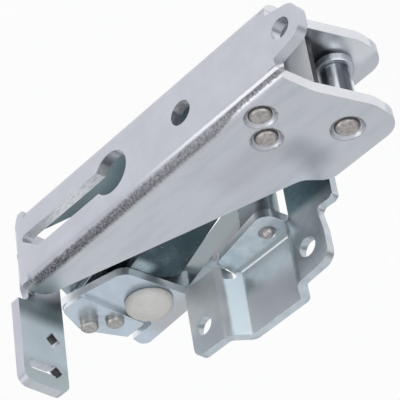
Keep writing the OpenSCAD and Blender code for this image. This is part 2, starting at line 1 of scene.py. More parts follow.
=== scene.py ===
"""Fridge door hinge: finishes, riveted details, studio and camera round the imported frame."""

import logging
import math
from dataclasses import dataclass, field, replace
from enum import Enum
from typing import Iterable, Optional, Sequence, Union

import bmesh
import bpy
from mathutils import Matrix, Vector


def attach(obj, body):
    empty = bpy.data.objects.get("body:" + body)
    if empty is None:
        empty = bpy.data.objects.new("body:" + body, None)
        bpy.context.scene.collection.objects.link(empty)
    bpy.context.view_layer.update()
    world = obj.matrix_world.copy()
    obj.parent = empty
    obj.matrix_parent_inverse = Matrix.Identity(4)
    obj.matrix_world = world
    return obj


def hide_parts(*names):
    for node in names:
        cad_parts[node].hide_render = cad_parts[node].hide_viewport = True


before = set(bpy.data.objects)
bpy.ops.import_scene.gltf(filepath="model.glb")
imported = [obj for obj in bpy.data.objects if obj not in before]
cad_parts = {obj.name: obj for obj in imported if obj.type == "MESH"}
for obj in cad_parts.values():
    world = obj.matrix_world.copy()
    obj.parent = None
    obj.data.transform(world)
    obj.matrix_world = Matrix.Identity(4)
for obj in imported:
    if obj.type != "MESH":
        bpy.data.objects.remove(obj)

log = logging.getLogger("fridge_door_hinge")

MM = 0.001
PER_METRE = 1000.0
WELD_GAP = 0.002
BEVEL_STEPS = 2
BEVEL_ANGLE = 38.0
FULL_WEIGHT = 100
ON_AXIS = 1e-6
LOBES = (3, 0.7, 2)

Colour = tuple[float, float, float]
Point = tuple[float, float, float]
Pivot = tuple[float, float]
Span = tuple[float, float]

WHITE: Colour = (1.0, 1.0, 1.0)
FLAT_FACE: Span = (0.6, 0.95)
FACING: Span = (0.35, 0.75)
# Band of the normal's part that marks broken edges, where a painted highlight is laid.
BROKEN_EDGE = (0.62, 0.2, 0.12)


class Axis(Enum):
    """Axis of the part's frame that a face looks along."""

    X = 0
    Y = 1
    Z = 2


class Grain(Enum):
    """Way the rolling lines of a sheet run, as the stretch of its texture."""

    ALONG = (0.05, 1.0, 1.0)
    ACROSS = (1.0, 1.0, 0.07)
    TURNED = (1.0, 1.0, 0.12)


@dataclass(frozen=True)
class Patch:
    """Soft-edged zone of a part with painted light and shade laid over its colour; millimetres.

    centre and reach give the zone's middle and half size, and soft the width of its edge. strength
    is the share of the colour that is laid on, and matt is taken off the metallic share. Where
    faces is set, the zone keeps to surfaces that look along that axis.
    """

    centre: Point
    reach: Point
    colour: Colour
    strength: float = 1.0
    soft: float = 1.0
    matt: float = 0.0
    faces: Optional[Axis] = None


class Value:
    """A shader socket that builds Math nodes when it is used in an expression."""

    def __init__(self, shader: "Shader", socket: bpy.types.NodeSocket) -> None:
        """Keep the socket and the shader that it belongs to."""
        self.shader = shader
        self.socket = socket

    def _math(self, operation: str, *inputs: Union[float, "Value"]) -> "Value":
        """Add a Math node.

        Args:
            operation: Name of the Math node's operation.
            inputs: Values or numbers for its sockets, in order.

        Returns:
            The node's result.
        """
        return self.shader.node("ShaderNodeMath", {"operation": operation},
                                dict(enumerate(inputs)))

    def __add__(self, other: Union[float, "Value"]) -> "Value":
        """Return the sum."""
        return self._math("ADD", self, other)

    def __radd__(self, other: float) -> "Value":
        """Return the sum, with a number first."""
        return self._math("ADD", other, self)

    def __sub__(self, other: Union[float, "Value"]) -> "Value":
        """Return the difference."""
        return self._math("SUBTRACT", self, other)

    def __rsub__(self, other: float) -> "Value":
        """Return the difference, with a number first."""
        return self._math("SUBTRACT", other, self)

    def __mul__(self, other: Union[float, "Value"]) -> "Value":
        """Return the product."""
        return self._math("MULTIPLY", self, other)

    def __rmul__(self, other: float) -> "Value":
        """Return the product, with a number first."""
        return self._math("MULTIPLY", other, self)

    def __abs__(self) -> "Value":
        """Return the value without its sign."""
        return self._math("ABSOLUTE", self)

    def root(self) -> "Value":
        """Return the square root."""
        return self._math("SQRT", self)

    def sine(self) -> "Value":
        """Return the sine."""
        return self._math("SINE", self)

    def largest(self, other: Union[float, "Value"]) -> "Value":
        """Return the larger of two values."""
        return self._math("MAXIMUM", self, other)

    def smallest(self, other: Union[float, "Value"]) -> "Value":
        """Return the smaller of two values."""
        return self._math("MINIMUM", self, other)

    def ramp(self, low: float, high: float, start: float = 0.0, end: float = 1.0) -> "Value":
        """Map a range of this value smoothly onto another.

        Args:
            low: Value at which the ramp starts.
            high: Value at which it ends; it may be below low.
            start: Result at low and before.
            end: Result at high and after.

        Returns:
            The mapped value.
        """
        if low > high:
            low, high, start, end = high, low, end, start
        settings = {"interpolation_type": "SMOOTHSTEP", "clamp": True}
        inputs = {"Value": self, "From Min": low, "From Max": high, "To Min": start, "To Max": end}
        return self.shader.node("ShaderNodeMapRange", settings, inputs)

    def band(self, middle: float, half: float, soft: float) -> "Value":
        """Mark the values near a middle one.

        Args:
            middle: The value that the band is centred on.
            half: Distance from it that still counts in full.
            soft: Further distance over which the mark fades.

        Returns:
            1 in the band, falling softly to 0 outside.
        """
        return abs(self - middle).ramp(half + soft, half)


class Shader:
    """Builds the nodes of one material or of the world."""

    def __init__(self, owner: Union[bpy.types.Material, bpy.types.World]) -> None:
        """Start with no nodes in the owner's tree."""
        self.owner = owner
        owner.use_nodes = True
        self.tree = owner.node_tree
        self.tree.nodes.clear()

    @classmethod
    def named(cls, name: str) -> "Shader":
        """Start a new material with that name."""
        return cls(bpy.data.materials.new(name))

    def _add(self, kind: str, settings: Optional[dict], inputs: Optional[dict]) -> bpy.types.Node:
        """Add a node of any type.

        Args:
            kind: Blender's type name of the node.
            settings: Attributes that are set first; "stops" are a ramp's (place, colour) pairs.
            inputs: Numbers, colours or values for sockets, by name or place.

        Returns:
            The new node.
        """
        made = self.tree.nodes.new(kind)
        for key, value in (settings or {}).items():
            if key == "stops":
                self._set_stops(made.color_ramp, value)
            else:
                setattr(made, key, value)
        for key, value in (inputs or {}).items():
            if isinstance(value, Value):
                self.tree.links.new(value.socket, made.inputs[key])
            else:
                made.inputs[key].default_value = value
        return made

    @staticmethod
    def _set_stops(ramp: bpy.types.ColorRamp, stops: Sequence[tuple[float, Colour]]) -> None:
        """Give a colour ramp its stops."""
        while len(ramp.elements) < len(stops):
            ramp.elements.new(0.5)
        for element, (place, colour) in zip(ramp.elements, stops):
            element.position = place
            element.color = (*colour, 1.0)

    def node(self, kind: str, settings: Optional[dict] = None, inputs: Optional[dict] = None,
             output: Union[int, str] = 0) -> Value:
        """Add a node of any type and return one of its outputs.

        Args:
            kind: Blender's type name of the node.
            settings: Attributes that are set first.
            inputs: Numbers, colours or values for its sockets.
            output: The output socket to return.

        Returns:
            The chosen output, ready for expressions.
        """
        return Value(self, self._add(kind, settings, inputs).outputs[output])

    def outputs(self, kind: str, inputs: Optional[dict], names: Sequence[str]) -> tuple[Value, ...]:
        """Add a node of any type and return several of its outputs.

        Args:
            kind: Blender's type name of the node.
            inputs: Numbers, colours or values for its sockets.
            names: Names of the outputs.

        Returns:
            The outputs, in that order.
        """
        made = self._add(kind, None, inputs)
        return tuple(Value(self, made.outputs[name]) for name in names)

    def place(self, scale: Point = (1.0, 1.0, 1.0)) -> Value:
        """Return the surface point in millimetres of the part's frame, stretched by scale."""
        point = self.node("ShaderNodeTexCoord", output="Object")
        inputs = {"Vector": point, "Scale": tuple(PER_METRE * share for share in scale)}
        return self.node("ShaderNodeMapping", None, inputs)

    def axes(self) -> tuple[Value, ...]:
        """Return X, Y and Z of the surface point in millimetres."""
        return self.outputs("ShaderNodeSeparateXYZ", {"Vector": self.place()}, "XYZ")

    def facing(self) -> tuple[Value, ...]:
        """Return X, Y and Z of the surface normal in the part's frame."""
        normal = self.node("ShaderNodeTexCoord", output="Normal")
        return self.outputs("ShaderNodeSeparateXYZ", {"Vector": normal}, "XYZ")

    def zone(self, patch: Patch) -> Value:
        """Return 1 inside a patch's zone, falling softly to 0 outside."""
        mask: Union[float, Value] = 1.0
        for along, middle, half in zip(self.axes(), patch.centre, patch.reach):
            mask = along.band(middle, half, patch.soft) * mask
        if patch.faces is not None:
            mask = self.facing()[patch.faces.value].ramp(*FACING) * mask
        return mask

    def lay(self, patches: Sequence[Patch], base: Value, metal: Union[float, Value],
            uneven: Value) -> tuple[Value, Union[float, Value]]:
        """Lay a part's patches over its base colour.

        Args:
            patches: The patches, in order.
            base: Base colour so far.
            metal: Metallic share so far.
            uneven: Noise that breaks up the patches' tones.

        Returns:
            The base colour and the metallic share.
        """
        for patch in patches:
            zone = self.zone(patch) * (uneven * 0.5 + 0.75)
            base = self.mix((zone * patch.strength).smallest(1.0), base, patch.colour)
            if patch.matt:
                metal = metal - zone * patch.matt
        return base, metal

    def noise(self, size: float, detail: float = 3.0, rough: float = 0.55,
              scale: Point = (1.0, 1.0, 1.0)) -> Value:
        """Add noise over the surface.

        Args:
            size: Width of its lumps in millimetres.
            detail: Steps of finer noise that are added.
            rough: Strength of each step against the one before.
            scale: Stretch of the surface point, for lumps longer one way.

        Returns:
            The noise, about 0.5 on average.
        """
        inputs = {"Vector": self.place(scale), "Scale": 1.0 / size, "Detail": detail,
                  "Roughness": rough}
        return self.node("ShaderNodeTexNoise", {"noise_dimensions": "3D"}, inputs, "Fac")

    def mix(self, factor: Union[float, Value], first: Union[Colour, Value],
            second: Union[Colour, Value]) -> Value:
        """Mix two colours.

        Args:
            factor: Share of the second colour.
            first: Colour at 0.
            second: Colour at 1.

        Returns:
            The mixed colour.
        """
        pair = [colour if isinstance(colour, Value) else (*colour, 1.0)
                for colour in (first, second)]
        inputs = {"Factor": factor, 6: pair[0], 7: pair[1]}
        return self.node("ShaderNodeMix", {"data_type": "RGBA"}, inputs, 2)

    def bump(self, height: Value, depth: float, strength: float) -> Value:
        """Turn a height into a normal.

        Args:
            height: The height, from about 0 to 1.
            depth: Depth of a height of 1, in millimetres.
            strength: Share of the bump that shows.

        Returns:
            The normal.
        """
        inputs = {"Height": height, "Distance": depth * MM, "Strength": strength}
        return self.node("ShaderNodeBump", None, inputs)

    def finish(self, **inputs: Union[float, tuple, Value]) -> bpy.types.Material:
        """Close the material with a Principled shader.

        Args:
            inputs: Socket names with underscores for blanks, and their values.

        Returns:
            The finished material.
        """
        named = {key.replace("_", " "): value for key, value in inputs.items()}
        return self.close(self.node("ShaderNodeBsdfPrincipled", None, named))

    def close(self, shade: Value,
              kind: str = "ShaderNodeOutputMaterial") -> Union[bpy.types.Material, bpy.types.World]:
        """Link a shader to the output.

        Args:
            shade: The shader.
            kind: Blender's type name of the output node.

        Returns:
            The material or world that the nodes belong to.
        """
        self._add(kind, None, {"Surface": shade})
        return self.owner


@dataclass(frozen=True)
class ZincSheet:
    """Bright zinc plated sheet with faint mottling, rolling lines and a painted edge highlight.

    rim is the colour painted on faces that stand along Z as their light and shade, edge_highlight
    the share of the painted highlight on broken edges, and streaks the painted reflections that a
    turned surface mirrors, by degrees round Z. A span is the range over which a noise or the
    normal's part fades a mask in, and relief the bump's depth in millimetres and strength.
    """

    name: str
    colour: Colour = (0.60, 0.62, 0.66)
    shade: Colour = (0.50, 0.53, 0.57)
    edge: Colour = (0.86, 0.88, 0.90)
    roughness: float = 0.32
    metallic: float = 0.9
    mottle: float = 5.0
    grain: Grain = Grain.ALONG
    rim: Optional[Colour] = None
    edge_highlight: float = 0.7
    speckled: float = 0.25
    cloud_span: Span = (0.36, 0.66)
    speck_span: Span = (0.62, 0.72)
    line_share: float = 0.25
    rim_span: Span = (0.5, 0.2)
    streak_span: Span = (0.93, 0.985)
    streak_share: float = 0.9
    relief: Span = (0.012, 0.5)
    streaks: tuple[tuple[float, Colour], ...] = ()
    patches: tuple[Patch, ...] = ()

    def make(self) -> bpy.types.Material:
        """Return the material."""
        s = Shader.named(self.name)
        cloud = s.noise(self.mottle, 4.0, 0.6)
        fine = s.noise(0.35, 3.0, 0.7)
        lines = s.noise(0.22, 2.0, 0.6, self.grain.value)
        specks = s.noise(1.1, 5.0, 0.7).ramp(*self.speck_span)
        clouded = cloud.ramp(*self.cloud_span) * (1 - self.line_share)
        tone = (clouded + lines * self.line_share).smallest(1.0)
        base = s.mix(tone, self.shade, self.colour)
        nx, ny, nz = s.facing()
        level = abs(nz)
        # Painted reflections: bands of tint by the way the normal heads round Z.
        for degrees, tint in self.streaks:
            turn = math.radians(degrees)
            towards = nx * math.cos(turn) + ny * math.sin(turn) + (lines - 0.5) * 0.03
            base = s.mix(towards.ramp(*self.streak_span) * self.streak_share, base, tint)
        # Painted light and shade: side faces, standing along Z, take the rim colour.
        if self.rim is not None:
            base = s.mix(level.ramp(*self.rim_span) * (0.7 + lines * 0.5), base, self.rim)
        base, metal = s.lay(self.patches, base, self.metallic, cloud)
        base = s.mix(specks * self.speckled, base, self.edge)
        # Painted highlight: faces tilted midway between flat and side, the broken edges, take the
        # edge colour.
        base = s.mix(level.band(*BROKEN_EDGE) * self.edge_highlight, base, self.edge)
        rough = (self.roughness - 0.05) + cloud * 0.08 + lines * 0.06 + specks * 0.05
        normal = s.bump(fine * 0.6 + lines * 0.4, *self.relief)
        return s.finish(Base_Color=base, Metallic=metal, Roughness=rough, Normal=normal)


@dataclass(frozen=True)
class ChannelSheet:
    """Plated channel sheet with a painted dark reflection, grained, along its long near fold.

    Spans are millimetres of X, Y or Z. Across the fold, a place is Z - Y: fold_place is the middle
    of the painted dark band at the two ends of fold_x, and fold_highlight that of the painted
    highlight line beside it.
    """

    name: str
    colour: Colour = (0.58, 0.595, 0.65)
    shade: Colour = (0.51, 0.525, 0.58)
    flange: Colour = (0.58, 0.595, 0.61)
    brushed: Colour = (0.40, 0.42, 0.45)
    fold_dark: Colour = (0.03, 0.03, 0.035)
    fold_mid: Colour = (0.20, 0.205, 0.22)
    slot_wall_dark: Colour = (0.30, 0.32, 0.33)
    bright: Colour = (0.93, 0.94, 0.95)
    roughness: float = 0.31
    metallic: float = 0.88
    cloud_span: Span = (0.34, 0.68)
    brushed_span: Span = (0.42, 0.72)
    brushed_share: float = 0.30
    flange_share: float = 0.7
    grain_span: Span = (0.38, 0.62)
    ragged_span: Span = (0.45, 0.62)
    wall_span: Span = (0.35, 0.15)
    slot_wall_dark_share: float = 0.35
    edge_share: float = 0.7
    spikes: float = 1.3
    relief: Span = (0.02, 0.55)
    near_z: Span = (6.0, 7.0)
    inner_z: Span = (7.0, 6.6)
    face_z: Span = (8.0, 8.5)
    end_x: Span = (-53.0, -49.0)
    fold_x: Span = (-40.0, 4.0)
    fold_place: Span = (11.0, 10.55)
    fold_half: float = 0.85
    fold_soft: float = 1.25
    fade_x: Span = (-42.0, 6.0)
    fade: float = 0.84
    nose_x: Span = (6.0, 16.0)
    nose_tight: float = 1.9
    fold_highlight: float = 8.35
    fold_highlight_half: float = 0.2
    fold_highlight_soft: float = 0.5
    fold_highlight_x: Span = (-24.0, 12.0)
    slot_x: Span = (12.0, 8.0)
    slot_y: Span = (-2.8, -2.5)
    dish: float = 1.2
    gap_share: float = 0.85
    dish_share: float = 0.4
    rings: tuple[tuple[Pivot, float], ...] = ()
    patches: tuple[Patch, ...] = ()

    def make(self) -> bpy.types.Material:
        """Return the material."""
        s = Shader.named(self.name)
        x, y, z = s.axes()
        _, _, nz = s.facing()
        cloud = s.noise(7.0, 4.0, 0.6)
        streaks = s.noise(2.4, 3.0, 0.6, (0.22, 1.0, 1.0))
        fine = s.noise(0.3, 3.0, 0.7)
        lines = s.noise(0.25, 2.0, 0.6, (0.06, 1.0, 1.0))
        level = abs(nz).ramp(*FLAT_FACE)
        tone = cloud.ramp(*self.cloud_span) * 0.6 + lines * 0.2 + streaks * 0.2
        base = s.mix(tone, self.shade, self.colour)
        # Painted reflection tint: faces that look along Z take a greyer, less blue tone than the
        # web.
        base = s.mix(level * self.flange_share, base, self.flange)
        brushed = level * streaks.ramp(*self.brushed_span) * self.brushed_share
        base = s.mix(brushed, base, self.brushed)
        base, metal = s.lay(self.patches, base, self.metallic, cloud)

        # Painted dark reflection along the near fold, broken up by coarse grain.
        spiky = (s.noise(0.5, 3.0, 0.7, (1.6, 0.35, 0.35)) - 0.5) * self.spikes
        grains = s.noise(0.34, 3.0, 0.65, (1.3, 0.6, 0.6))
        across = z - y
        outside = z.ramp(*self.near_z) * nz.ramp(-0.2, 0.1) * x.ramp(*self.end_x)
        middle = x.ramp(*self.fold_x, *self.fold_place) - x.ramp(*self.nose_x)
        tight = x.ramp(*self.nose_x, 1.0, self.nose_tight)
        fold = (across - middle + spiky) * tight
        fold = fold.band(0.0, self.fold_half, self.fold_soft) * outside
        fold = fold * x.ramp(*self.fade_x, 1.0, self.fade)
        dark = s.mix(grains.ramp(*self.grain_span), self.fold_mid, self.fold_dark)
        base = s.mix(fold * (0.72 + grains * 0.45).smallest(0.97), base, dark)
        # Painted highlight: the bright line beside the fold.
        fold_highlight = (across + spiky * 0.3).band(self.fold_highlight, self.fold_highlight_half, self.fold_highlight_soft)
        fold_highlight = fold_highlight * outside * x.ramp(*self.fold_highlight_x)
        metal = metal - fold * 0.2 - fold_highlight * 0.45
        base = s.mix(fold_highlight * 0.9, base, self.bright)

        base = self.ring(s, base, z.ramp(*self.face_z))
        base = self.cut(s, base)
        rough = self.roughness + cloud * 0.06 + fold * 0.14 - fold_highlight * 0.1
        height = fine * 0.3 + lines * 0.2 + fold * grains * 3.6
        normal = s.bump(height, *self.relief)
        return s.finish(Base_Color=base, Metallic=metal, Roughness=rough, Normal=normal)

    def ring(self, s: Shader, base: Value, near: Value) -> Value:
        """Darken the gap round each rivet end, and paint shade on the rim of its dish.

        Args:
            s: The material's shader.
            base: Base colour so far.
            near: Mask of the near flange's outer face.

        Returns:
            The base colour.
        """
        x, y, _ = s.axes()
        for centre, radius in self.rings:
            off_x = x - centre[0]
            off_y = y - centre[1]
            away = (off_x * off_x + off_y * off_y).root()
            gap = away.band(radius + 0.1, 0.1, 0.22)
            rim = away.band(radius + self.dish, 0.02, 0.2)
            base = s.mix(gap * near * self.gap_share, base, self.fold_dark)
            # Painted shade on the rim of each dish.
            base = s.mix(rim * near * self.dish_share, base, self.fold_mid)
        return base

    def cut(self, s: Shader, base: Value) -> Value:
        """Darken the keyhole slot wall in ragged patches; paint highlights on the web's cut edges.

        Args:
            s: The material's shader.
            base: Base colour so far.

        Returns:
            The base colour.
        """
        x, y, z = s.axes()
        upright = abs(s.facing()[1])
        inner = abs(z).ramp(*self.inner_z)
        ragged = s.noise(0.9, 4.0, 0.65, (0.5, 2.0, 1.0)).ramp(*self.ragged_span)
        wall = upright.ramp(*self.wall_span) * y.ramp(*self.slot_y) * inner
        # Ragged darker patches on the walls of the web's slot and holes.
        base = s.mix(wall * ragged * x.ramp(*self.slot_x) * self.slot_wall_dark_share, base, self.slot_wall_dark)
        # Painted highlight on the web's cut edges.
        return s.mix(upright.band(*BROKEN_EDGE) * inner * self.edge_share, base, self.bright)


@dataclass(frozen=True)
class RivetSteel:
    """Plain formed rivet steel with turned rings on its ends and slight warm tarnish."""

    name: str
    centre: Pivot = (0.0, 0.0)
    colour: Colour = (0.47, 0.44, 0.42)
    dark: Colour = (0.24, 0.22, 0.21)
    roughness: float = 0.42
    metallic: float = 0.85
    ring_rate: float = 22.0
    ring_wander: float = 5.0
    stain_span: Span = (0.4, 0.65)
    pit_span: Span = (0.6, 0.72)
    relief: Span = (0.02, 0.5)

    def make(self) -> bpy.types.Material:
        """Return the material."""
        s = Shader.named(self.name)
        x, y, _ = s.axes()
        off_x = x - self.centre[0]
        off_y = y - self.centre[1]
        radius = (off_x * off_x + off_y * off_y).root()
        wave = (radius * self.ring_rate + s.noise(1.5) * self.ring_wander).sine()
        rings = wave * 0.5 + 0.5
        stain = s.noise(0.8, 4.0, 0.65).ramp(*self.stain_span)
        pits = s.noise(0.25, 2.0, 0.6).ramp(*self.pit_span)
        base = s.mix(stain * 0.55 + pits * 0.3, self.colour, self.dark)
        rough = self.roughness + stain * 0.12 + rings * 0.04
        normal = s.bump(rings * 0.5 + (1.0 - pits) * 0.8, *self.relief)
        return s.finish(Base_Color=base, Metallic=self.metallic, Roughness=rough, Normal=normal)


@dataclass(frozen=True)
class Nylon:
    """Natural off-white moulded plastic with a faint moulding texture."""

    name: str
    colour: Colour = (0.56, 0.55, 0.52)
    warm: Colour = (0.48, 0.47, 0.44)
    roughness: float = 0.5
    specular: float = 0.4
    cloud_span: Span = (0.35, 0.7)
    smear_span: Span = (0.55, 0.75)
    relief: Span = (0.03, 0.35)

    def make(self) -> bpy.types.Material:
        """Return the material."""
        s = Shader.named(self.name)
        cloud = s.noise(3.0, 4.0, 0.6)
        fine = s.noise(0.22, 2.0, 0.6)
        smear = s.noise(1.2, 4.0, 0.7).ramp(*self.smear_span)
        warmth = cloud.ramp(*self.cloud_span) * 0.6 + smear * 0.3
        base = s.mix(warmth, self.colour, self.warm)
        rough = self.roughness + fine * 0.1 - smear * 0.08
        normal = s.bump(fine + cloud * 2.0, *self.relief)
        return s.finish(Base_Color=base, Metallic=0.0, Roughness=rough, Normal=normal,
                        Specular_IOR_Level=self.specular)


Finish = Union[ZincSheet, ChannelSheet, RivetSteel, Nylon]


class Workshop:
    """Mesh and dressing helpers that all sub-assemblies share."""

    def __init__(self) -> None:
        """Start with no materials."""
        self.materials: dict[str, bpy.types.Material] = {}

    def material(self, finish: Finish) -> bpy.types.Material:
        """Return a finish's material, made once."""
        if finish.name not in self.materials:
            self.materials[finish.name] = finish.make()
        return self.materials[finish.name]

    def dress(self, node: str, finish: Finish, bevel: float) -> None:
        """Give a carried-over node its finish and softly broken edges.

        Args:
            node: Name of the node.
            finish: Its finish.
            bevel: Width of the broken edges in millimetres.
        """
        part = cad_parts[node]
        material = self.material(finish)
        if part.material_slots:
            for slot in part.material_slots:
                slot.material = material
        else:
            part.data.materials.append(material)
        self.break_edges(part, bevel)
        log.info("dressed %s", node)

    @staticmethod
    def break_edges(part: bpy.types.Object, width: float) -> None:
        """Weld a part's seams and bevel its sharp edges by modifiers.

        Args:
            part: The node's object.
            width: Width of the bevel in millimetres.
        """
        weld = part.modifiers.new("weld", "WELD")
        weld.merge_threshold = WELD_GAP * MM
        bevel = part.modifiers.new("broken_edges", "BEVEL")
        bevel.width = width * MM
        bevel.segments = BEVEL_STEPS
        bevel.limit_method = "ANGLE"
        bevel.angle_limit = math.radians(BEVEL_ANGLE)
        bevel.use_clamp_overlap = True
        bevel.miter_outer = "MITER_ARC"
        normals = part.modifiers.new("even_normals", "WEIGHTED_NORMAL")
        normals.keep_sharp = False
        normals.weight = FULL_WEIGHT

    def piece(self, name: str, mesh: bpy.types.Mesh, body: str, finish: Finish,
              slot: str) -> bpy.types.Object:
        """Add a new piece that rides on a body.

        Args:
            name: Name of the piece.
            mesh: Its mesh, in metres of the part's frame.
            body: Name of the body that it rides on.
            finish: Its finish.
            slot: The record's material slot; not used.

        Returns:
            The new object.
        """
        made = bpy.data.objects.new(name, mesh)
        bpy.context.scene.collection.objects.link(made)
        mesh.materials.append(self.material(finish))
        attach(made, body)
        log.info("built %s", name)
        return made

    @staticmethod
    def lathe(name: str, centre: Pivot, profile: Sequence[tuple[float, float]],
              segments: int, wobble: float) -> bpy.types.Mesh:
        """Turn a profile about a pivot.

        Args:
            name: Name of the mesh.
            centre: X and Y of the pivot in millimetres.
            profile: (radius, z) pairs in millimetres, from one end of the axis to the other.
            segments: Steps round the axis.
            wobble: Share by which the radius varies round the axis.

        Returns:
            The closed, smooth-shaded mesh.
        """
        shape = bmesh.new()
        rows = []
        lobes, phase, sway = LOBES
        for radius, height in profile:
            if radius <= ON_AXIS:
                tip = (centre[0] * MM, centre[1] * MM, height * MM)
                rows.append([shape.verts.new(tip)])
                continue
            row = []
            for step in range(segments):
                turn = 2 * math.pi * step / segments
                bulge = math.sin(lobes * turn + phase) * math.cos(sway * turn)
                out = radius * (1 + wobble * bulge)
                row.append(shape.verts.new(((centre[0] + out * math.cos(turn)) * MM,
                                            (centre[1] + out * math.sin(turn)) * MM,
                                            height * MM)))
            rows.append(row)
        for low, high in zip(rows, rows[1:]):
            for step in range(segments):
                after = (step + 1) % segments
                around = [low[0]] if len(low) == 1 else [low[step], low[after]]
                around += [high[0]] if len(high) == 1 else [high[after], high[step]]
                if len(around) > 2:
                    shape.faces.new(around)
        bmesh.ops.recalc_face_normals(shape, faces=shape.faces)
        mesh = bpy.data.meshes.new(name)
        shape.to_mesh(mesh)
        shape.free()
        mesh.shade_smooth()
        return mesh


@dataclass
class Channel:
    """Folded channel with its rivets, bushes and guard; sizes in millimetres."""

    shop: Workshop
    upper: Pivot = (15.5, -5.7)
    lower: Pivot = (11.3, -11.3)
    ear: Pivot = (22.8, -22.6)
    pin_r: float = 2.2
    ear_r: float = 2.4
    sheet: ChannelSheet = field(default_factory=lambda: ChannelSheet(
        "plated_channel_sheet", patches=(
            # Painted shade on the far flange's inner face, inside the channel.
            Patch((-24.0, -13.0, -7.5), (27.0, 10.0, 0.5), (0.20, 0.28, 0.30),
                  0.85, 2.0, 0.0, Axis.Z),
            # Painted dark reflection on the far ear's inner face by the guard.
            Patch((21.2, -15.5, -7.5), (3.6, 5.0, 0.5), (0.07, 0.08, 0.09),
                  0.85, 1.6, 0.0, Axis.Z),
            # Painted highlight on the keyhole slot's far wall.
            Patch((-25.0, -1.2, -3.2), (27.0, 1.3, 1.0), (0.95, 0.96, 0.97),
                  0.9, 0.4, 0.15, Axis.Z),
            # Painted highlight on the ears' cut faces that look along X.
            Patch((28.0, -11.0, 0.0), (5.0, 14.0, 12.0), (0.78, 0.79, 0.81),
                  0.7, 1.0, 0.0, Axis.X),
            # Painted light on the far ear's inner face beyond the sleeve.
            Patch((28.5, -21.0, -7.5), (1.5, 5.0, 0.5), (0.82, 0.84, 0.86),
                  0.7, 2.5, 0.15, Axis.Z),
            # Painted shade at the near flange's left end.
            Patch((-50.5, -7.0, 10.0), (1.5, 6.0, 0.4), (0.42, 0.50, 0.50),
                  0.6, 3.5, 0.0, Axis.Z),
            # Painted shade inside the tab's square hole.
            Patch((-55.2, -8.3, 19.3), (0.95, 1.5, 1.5), (0.03, 0.03, 0.03), 0.95, 0.12),
            # Painted shade inside the square hole at the end of the tab's slot.
            Patch((-55.2, -9.4, 27.3), (0.95, 0.9, 1.1), (0.03, 0.03, 0.03), 0.95, 0.12),
            # Painted light on the tab's face, lighter and less metallic.
            Patch((-54.0, -5.0, 22.0), (0.5, 9.0, 10.0), (0.70, 0.79, 0.82),
                  0.95, 3.0, 0.42, Axis.X),
            # Painted shade towards the tab's far end.
            Patch((-54.0, -6.0, 30.0), (0.5, 9.0, 2.5), (0.50, 0.55, 0.55),
                  0.6, 3.0, 0.0, Axis.X),
            # Painted shadow of the flange across the top of the tab's face.
            Patch((-54.0, -5.0, 12.2), (0.5, 9.0, 1.2), (0.13, 0.17, 0.18),
                  0.85, 4.6, -0.2, Axis.X),
            # Painted shadow on the near flange below the lower rivet.
            Patch((12.6, -21.0, 10.0), (0.4, 2.6, 0.4), (0.26, 0.29, 0.31),
                  0.58, 5.6, 0.0, Axis.Z),
            # Painted dark reflection in a band across the near flange.
            Patch((4.0, -13.5, 10.0), (6.0, 1.0, 0.4), (0.44, 0.45, 0.47),
                  0.5, 6.0, 0.0, Axis.Z))))
    inner: ZincSheet = field(default_factory=lambda: ZincSheet(
        # The guard's near-white, almost matt colour is painted light: it sits in shade inside the
        # channel.
        "plated_guard_sheet", colour=(0.95, 0.95, 0.96), shade=(0.88, 0.89, 0.90),
        metallic=0.05, roughness=0.4, grain=Grain.ACROSS, patches=(
            # Painted shade on the guard's end edge.
            Patch((26.0, -12.3, 0.0), (0.6, 1.2, 9.0), (0.03, 0.03, 0.035),
                  1.0, 0.3, -0.6, Axis.X),
            # Painted shade on the guard's wall.
            Patch((18.0, -18.0, 0.0), (1.5, 3.0, 9.0), (0.09, 0.10, 0.11),
                  0.85, 1.0, -0.4, Axis.X))))
    turned: ZincSheet = field(default_factory=lambda: ZincSheet(
        "turned_bush_steel", colour=(0.62, 0.66, 0.69), shade=(0.34, 0.38, 0.41),
        # The streaks are painted reflections round the bush: dark and bright bands by heading.
        roughness=0.16, grain=Grain.TURNED, streaks=(
            (14.0, (0.06, 0.07, 0.09)), (34.0, (0.08, 0.09, 0.11)),
            (66.0, (0.80, 0.84, 0.86)), (104.0, (0.12, 0.14, 0.16)),
            (-28.0, (0.85, 0.87, 0.88)))))

    def build(self) -> None:
        """Dress the channel's nodes."""
        rings = ((self.upper, self.pin_r), (self.lower, self.pin_r), (self.ear, self.ear_r))
        self.shop.dress("channel", replace(self.sheet, rings=rings), bevel=0.28)
        self.shop.dress("ear_guard", self.inner, bevel=0.12)
        for node in ("upper_bush_near", "upper_bush_far", "lower_bush", "ear_sleeve"):
            self.shop.dress(node, self.turned, bevel=0.15)
        pivots = {"upper_pin": self.upper, "lower_stub": self.lower, "lower_plug": self.lower,
                  "ear_pin": self.ear}
        for node, centre in pivots.items():
            self.shop.dress(node, RivetSteel(f"{node}_steel", centre), bevel=0.12)


@dataclass
class Arms:
    """The two long arms and the short ear link."""

    shop: Workshop
    bevel: float = 0.18
    arm: ZincSheet = field(default_factory=lambda: ZincSheet(
        "plated_arm_sheet", colour=(0.46, 0.53, 0.56), shade=(0.36, 0.42, 0.45),
        roughness=0.26, patches=(
            # Painted shade over the belly of the arms' near faces, inside the channel.
            Patch((-28.0, -24.0, 2.0), (18.0, 9.0, 3.0), (0.038, 0.066, 0.076),
                  1.0, 2.5, 0.0, Axis.Z),
            # Painted highlight: a soft streak on the lower arm's near face.
            Patch((-39.8, -23.2, 3.2), (0.1, 1.0, 1.0), (0.60, 0.70, 0.72),
                  0.7, 3.0, 0.0, Axis.Z))))
    link: ZincSheet = field(default_factory=lambda: ZincSheet("plated_link_sheet", roughness=0.3))

    def build(self) -> None:
        """Dress the arms and the link."""
        for node, finish in (("upper_arm", self.arm), ("lower_arm", self.arm),
                             ("ear_link", self.link)):
            self.shop.dress(node, finish, self.bevel)


